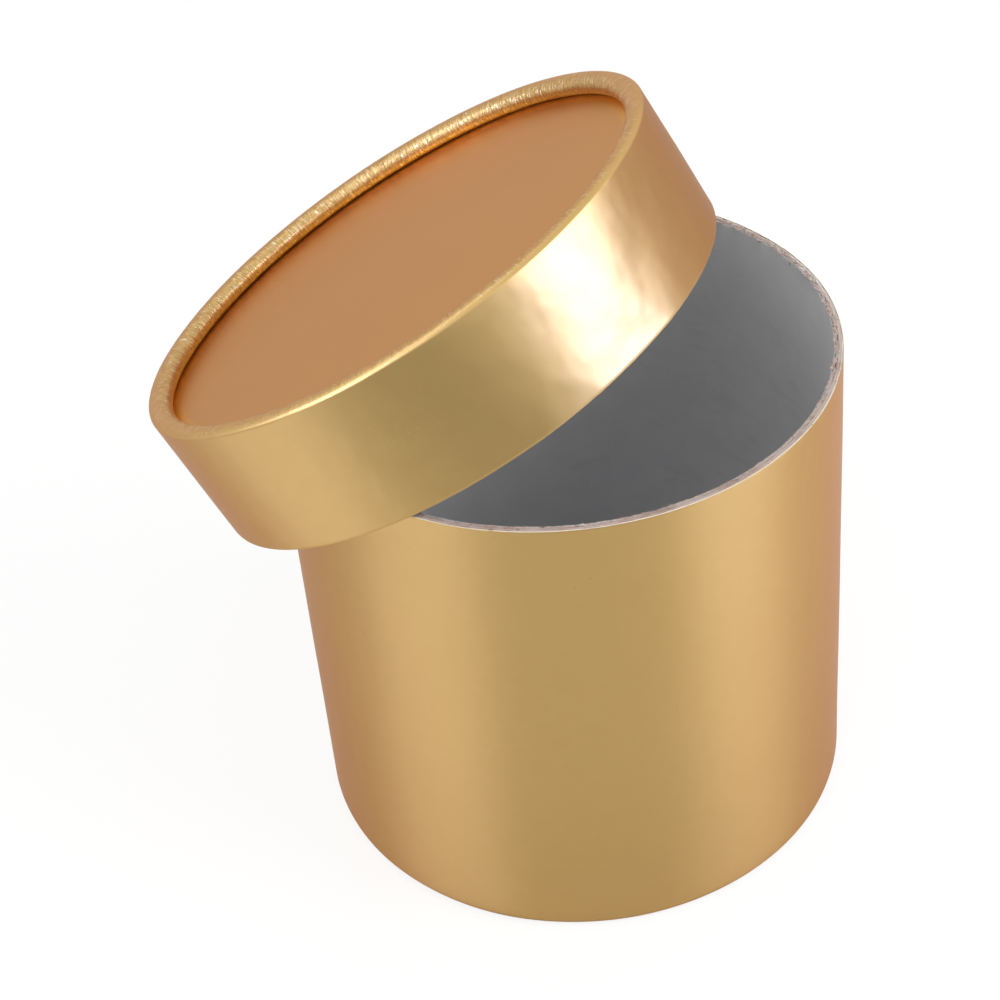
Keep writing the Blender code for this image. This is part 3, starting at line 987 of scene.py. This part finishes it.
sleeve = turned(
    "inner_ply",
    upright_sheet(GLUED_RADIUS, SLEEVE_BOARD + GLUE_LAYER, SLEEVE_LEVEL, BOX_HEIGHT, 0.0001, 7),
    box_place,
    [sleeve_board],
    Columns=1000,
    Seam_Angle=SLEEVE_SEAM,
    Seam_Width=SEAM_GAP,
    Seam_Depth=0.0003,
    Cut_Roughness=0.00060,
    Fibre_Density=FIBRE_DENSITY,
    **BOX_WAVES,
)
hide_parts("box_inner_sleeve")
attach(sleeve, "box")


# The lining: matt blue-grey paper glued inside the inner ply, with a disc of the same paper on
# the base. Both show faint strokes and small dark specks.

LINER = 0.00012
LINING_SHORT = 0.00045
EDGE_PLAY = 0.0003
LINING_RADIUS = SLEEVE_RADIUS - SLEEVE_BOARD - GLUE


def lining_paper():
    material, tree = new_material("grey lining paper")
    place = read(tree, "own_place", "Vector")
    unrolled = add(tree, "ShaderNodeUVMap", uv_map="UVMap")["UV"]
    grain = use(tree, paper_grain, Place=place, Fibre_Width=0.00030, Cloud_Size=0.009)
    strokes = add(tree, "ShaderNodeMapping", {"Vector": unrolled, "Scale": (55, 160, 1)})[0]
    strokes = noise(strokes, 1.0, 2.0, 1.2)
    tone = blend(span(grain["Clouding"], 0.3, 0.7), (0.70, 0.70, 0.703), (0.675, 0.676, 0.682))
    tone = blend(span(strokes, 0.55, 0.75, 0, 0.22), tone, (0.50, 0.505, 0.515))
    tone = blend(span(grain["Fibres"], 0.5, 0.75, 0, 0.35), tone, (0.72, 0.72, 0.725))
    dark = use(tree, specks, Place=place, Spacing=0.0050, Size=0.06, Share=0.35)
    tone = blend(dark[0] * 0.7, tone, (0.15, 0.14, 0.14))
    return surfaced(
        material,
        Base_Color=tone,
        Roughness=span(grain["Fibres"], 0.3, 0.7, 0.78, 0.92, smooth=False),
        Normal=bumped(grain["Fibres"], 0.00002),
        Specular_IOR_Level=0.3,
    )


grey_lining = lining_paper()

wall_lining = turned(
    "wall_lining",
    upright_sheet(LINING_RADIUS, LINER, SLEEVE_LEVEL, BOX_HEIGHT - LINING_SHORT),
    box_place,
    [grey_lining],
    Columns=360,
    Seam_Angle=BOX_SEAM,
    Seam_Width=SEAM_GAP,
    Seam_Depth=-0.00002,
    Cut_Roughness=0.00012,
    **BOX_WAVES,
)
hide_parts("box_wall_liner")
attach(wall_lining, "box")


def flat_disc(radius, level, thickness, corner=0.00003):
    """A round cut from sheet: out over its face, down its cut edge, and back under it."""
    line = Outline()
    step = 0.006
    top = level + thickness
    edge = radius - corner
    line.to(0.0, top, (0, 1))
    for r in levels(0.0, edge, step):
        line.to(r, top, (0, 1))
    line.to(edge, top, (0, 1), rubbed=1)
    line.cut_from_here()
    line.to(radius, top - corner)
    line.cut_from_here()
    line.to(radius, level + corner)
    line.cut_from_here()
    line.to(edge, level, (0, -1))
    for r in levels(edge, 0.0, step):
        line.to(r, level, (0, -1))
    return line.to(0.0, level, (0, -1))


FLOOR_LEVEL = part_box("base_floor_paper")[0].z
BASE_WAVES = dict(Columns=240, Flat=1.0, Wave_Depth=0.00008)
floor_lining = turned(
    "floor_lining",
    flat_disc(LINING_RADIUS - LINER - EDGE_PLAY, FLOOR_LEVEL, LINER),
    box_place,
    [grey_lining, paper_edge],
    Wave_Size=0.05,
    **BASE_WAVES,
)
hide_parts("base_floor_paper")
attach(floor_lining, "box")


# The base: a round of board that lies on the foot roll, where the inner ply stands on its edge
# and holds it down. Gold foil paper is glued under it.

base_low, base_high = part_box("base_underside_foil")
underside = turned(
    "base_underside_foil_sheet",
    flat_disc((base_high.x - base_low.x) / 2, base_low.z, FOIL),
    box_place,
    [gold_foil, paper_edge],
    Wave_Size=0.04,
    **BASE_WAVES,
)
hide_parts("base_underside_foil")
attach(underside, "box")

board_low, board_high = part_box("base_board")
base = turned(
    "base_round",
    flat_disc((board_high.x - board_low.x) / 2, board_low.z, board_high.z - board_low.z, 0.0001),
    box_place,
    [raw_board("raw paperboard of the base", 0.0)],
    Columns=240,
    Flat=1.0,
)
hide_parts("base_board")
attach(base, "box")


# The lid's wall: a shallow tube of thinner board. Its upper end is folded over in a tight
# shoulder, pressed flat, and rolled under into the bead.

LID_HEIGHT = 0.0404
LID_BOARD = 0.00090
LID_PLAY = 0.00040
BEAD_ROLL_RADIUS = 0.0029
BEAD_ROLL_OFFSET = 0.0035
BEAD_SHOULDER_RADIUS = 0.0011
BEAD_CROWN_RADIUS = 0.0032
LID_RADIUS = BOX_RADIUS + LID_PLAY + LINER + GLUE + LID_BOARD + COVER
LID_SEAM = radians(96)
TOP_BOARD = 0.00120
SEAT_GAP = 0.0003
TOP_FOIL_LEVEL = LID_HEIGHT - 2 * BEAD_ROLL_RADIUS - SEAT_GAP - FOIL
TOP_BOARD_LEVEL = TOP_FOIL_LEVEL - GLUE - TOP_BOARD


def bead_side(depth):
    """One surface of the lid's wall, this far in from the foil's outside: up the wall, round the
    tight shoulder, over the pressed crown, and on round the roll, where it is gathered."""
    turn = radians(52)
    crest = radians(90)
    spread = BEAD_CROWN_RADIUS - BEAD_SHOULDER_RADIUS
    shoulder_r = LID_RADIUS - BEAD_SHOULDER_RADIUS
    crown_r = shoulder_r - spread * cos(turn)
    crown_z = LID_HEIGHT - BEAD_CROWN_RADIUS
    shoulder_z = crown_z + spread * sin(turn)
    shoulder = max(0.00005, BEAD_SHOULDER_RADIUS - depth)
    roll_r = LID_RADIUS - BEAD_ROLL_OFFSET
    roll_z = LID_HEIGHT - BEAD_ROLL_RADIUS
    walk = [(LID_RADIUS - depth, z, (1, 0), 0, 0) for z in levels(0, shoulder_z, 0.004)]
    # The shoulder is marked rubbed, which paints its foil paler: partly wear, partly a painted
    # highlight
    for r, z, out in arc(shoulder_r, shoulder_z, shoulder, turns(0, turn, 6)):
        walk.append((r, z, out, 0, max(0, 1 - 2 * abs(out[0] - out[1]))))
    for r, z, out in arc(crown_r, crown_z, BEAD_CROWN_RADIUS - depth, turns(turn, crest, 6)[1:]):
        walk.append((r, z, out, 0.5 * out[1] ** 6, 0))
    for i in range(1, 4):
        spot = crown_r + (roll_r - crown_r) * i / 4
        walk.append((spot, LID_HEIGHT - depth, (0, 1), 0.5 + 0.05 * i, 0))
    for r, z, out in arc(roll_r, roll_z, BEAD_ROLL_RADIUS - depth, turns(crest, ROLL_END, 24)):
        walk.append((r, z, out, min(1, 0.72 - 0.6 * out[0]), 0))
    return walk


def lid_in_place():
    """Where the lid leans, read off its top board."""
    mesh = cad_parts["lid_top_board"].data
    corners = np.array([v.co for v in mesh.vertices], float)
    middle = (corners.max(0) + corners.min(0)) / 2
    up = Vector(np.linalg.svd(corners - corners.mean(0), full_matrices=False)[2][2])
    if up.z < 0:
        up.negate()
    turn = Vector((0, 0, 1)).rotation_difference(up).to_matrix().to_4x4()
    foot = Vector(middle) - up * (TOP_BOARD_LEVEL + TOP_BOARD / 2)
    return Matrix.Translation(foot) @ turn


lid_place = lid_in_place()
LID_WAVES = dict(
    Wave_Depth=0.0009,
    Wave_Size=0.06,
    Dent_Depth=0.0013,
    Dent_Size=0.026,
    Dent_Angle=radians(-48),
    Seed=11.0,
    Reference_Radius=0.0817,
)

lid_wall = turned(
    "lid_wall",
    board_wall(bead_side, LID_BOARD),
    lid_place,
    [raw_board("raw paperboard of the lid", LID_RADIUS - COVER - LID_BOARD)],
    Columns=480,
    Cut_Roughness=0.0002,
    **LID_WAVES,
)
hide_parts("lid_tube")
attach(lid_wall, "lid")


# The lid's wrap: gold foil paper glued round the wall and over the bead. Rolling it inwards has
# gathered the foil into fine crosswise folds on the inner side of the bead.

lid_foil = foil_paper(
    "gold foil paper of the lid",
    GOLD,
    DEEPER_GOLD,
    scratched_at=(0.250, 0.021, 0.0),
    reach=0.020,
    crinkled=True,
)
lid_wrap = turned(
    "lid_gold_foil_wrap",
    foil_wall(bead_side),
    lid_place,
    [lid_foil, paper_edge],
    Columns=1100,
    Seam_Angle=LID_SEAM,
    Seam_Width=SEAM_GAP,
    Seam_Depth=0.00003,
    Crease_Depth=0.00006,
    Crease_Width=0.0022,
    Crease_Length=0.0060,
    Cut_Roughness=0.00012,
    **LID_WAVES,
)
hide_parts("lid_foil_wrap")
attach(lid_wrap, "lid")


# The lid's top: a round of board seated under the bead, with copper-toned foil paper on its face
# and grey paper under it.

copper_foil = foil_paper(
    "copper-toned foil paper",
    (0.61, 0.368, 0.148),
    (0.59, 0.35, 0.138),
    scratched_at=(0.037, 0.036, 0.0),
    reach=0.012,
    mottle=0.25,
    coat=0.0,
    glow_painted_from=0.0715,
)
TOP_RADIUS = LID_RADIUS - COVER - LID_BOARD - EDGE_PLAY
TOP_WAVES = dict(Columns=240, Flat=1.0, Wave_Depth=0.00012, Wave_Size=0.05, Seed=7.0)

top_foil = turned(
    "lid_top_foil_sheet",
    flat_disc(TOP_RADIUS, TOP_FOIL_LEVEL + SEAT_GAP, FOIL),
    lid_place,
    [copper_foil, paper_edge],
    **TOP_WAVES,
)
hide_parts("lid_top_foil")
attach(top_foil, "lid")

top_board = turned(
    "lid_top_round",
    flat_disc(TOP_RADIUS, TOP_BOARD_LEVEL, TOP_BOARD, 0.0001),
    lid_place,
    [raw_board("raw paperboard of the lid's top", 0.0)],
    **TOP_WAVES,
)
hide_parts("lid_top_board")
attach(top_board, "lid")

LID_INSIDE = BOX_RADIUS + LID_PLAY
TOP_LINER_LEVEL = TOP_BOARD_LEVEL - GLUE - LINER
top_lining = turned(
    "lid_top_lining",
    flat_disc(LID_INSIDE - EDGE_PLAY, TOP_LINER_LEVEL, LINER),
    lid_place,
    [grey_lining, paper_edge],
    **TOP_WAVES,
)
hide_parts("lid_top_liner")
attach(top_lining, "lid")


# The lid's lining: grey paper glued round the inside of the wall. It ends close under the top,
# which it holds up against the bead.

LINING_GAP = 0.00008
lid_lining = turned(
    "lid_wall_lining",
    upright_sheet(LID_INSIDE + LINER, LINER, 0.0, TOP_LINER_LEVEL - LINING_GAP),
    lid_place,
    [grey_lining, paper_edge],
    Columns=360,
    Seam_Angle=LID_SEAM,
    Seam_Depth=-0.0001,
    **LID_WAVES,
)
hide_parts("lid_wall_liner")
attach(lid_lining, "lid")
